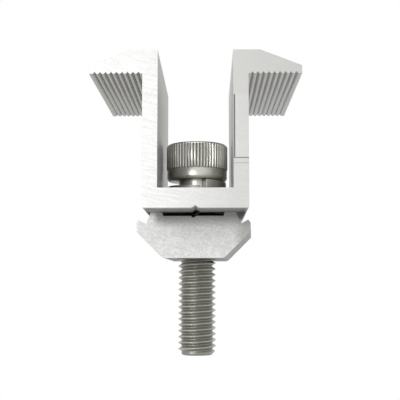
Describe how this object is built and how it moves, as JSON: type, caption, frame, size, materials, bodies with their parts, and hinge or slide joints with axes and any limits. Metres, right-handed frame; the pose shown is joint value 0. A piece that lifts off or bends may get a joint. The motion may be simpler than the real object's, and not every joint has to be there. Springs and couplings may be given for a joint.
{
  "type": "solar module mid clamp",
  "caption": "Mid clamp for solar modules: aluminium channel with toothed wings, held to a rail by a socket head cap screw, spring lock washer and hooked rail nut.",
  "frame": {"origin": "on the screw axis, in the plane where the clamp body meets the rail nut", "axes": "+Z along the screw axis towards its head, X across the gap between two modules, Y along the extrusions"},
  "size_m": [0.0418, 0.04, 0.0607],
  "materials": {
    "mill_aluminium": "mill finish extrusion with sawn ends",
    "stainless_steel": "bright cold formed stainless steel",
    "spring_steel": "dull rolled stainless spring steel"
  },
  "bodies": {
    "rail_nut": {"rail_nut": "mill_aluminium"},
    "lock_washer": {"lock_washer": "spring_steel"},
    "cap_screw": {"cap_screw": "stainless_steel"},
    "clamp_body": {"clamp_body": "mill_aluminium"}
  },
  "joints": [
    {"name": "screw_lift", "type": "slide", "parent": "rail_nut", "child": "lock_washer", "axis": [0, 0, 1], "range_m": [0, 0.0187]},
    {"name": "screw_turn", "type": "hinge", "parent": "lock_washer", "child": "cap_screw", "pos_m": [0, 0, 0], "axis": [0, 0, 1], "range_deg": [0, 5400]},
    {"name": "clamp_swivel", "type": "hinge", "parent": "lock_washer", "child": "clamp_body", "pos_m": [0, 0, 0], "axis": [0, 0, 1], "continuous": true}
  ],
  "couplings": [
    {"joint": "screw_turn", "follows": "screw_lift", "rad_per_m": 5026.5}
  ]
}
